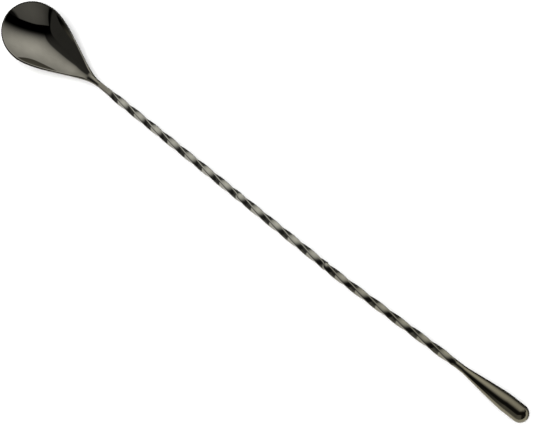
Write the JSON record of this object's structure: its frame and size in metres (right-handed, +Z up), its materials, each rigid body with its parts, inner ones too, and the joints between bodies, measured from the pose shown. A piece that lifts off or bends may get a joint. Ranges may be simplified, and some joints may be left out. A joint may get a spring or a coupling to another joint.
{
  "type": "bar spoon",
  "caption": "Long bar spoon with a teardrop bowl, a stem of twisted square bar and a teardrop counterweight, all in dark mirror-polished gunmetal.",
  "frame": {"origin": "middle of the spoon's bounding box, on the table plane it lies on", "axes": "+X from the bowl to the counterweight along the stem, +Z up out of the open bowl, +Y across the bowl"},
  "size_m": [0.3, 0.0294, 0.0099],
  "materials": {
    "gunmetal": "polished dark gunmetal plating on stainless steel",
    "braze": "silver braze, as it flowed, hidden in the joints"
  },
  "bodies": {
    "root": {"bowl": "gunmetal", "twisted_stem": "gunmetal", "teardrop_weight": "gunmetal", "bowl_braze": "braze", "weight_braze": "braze"}
  },
  "joints": []
}
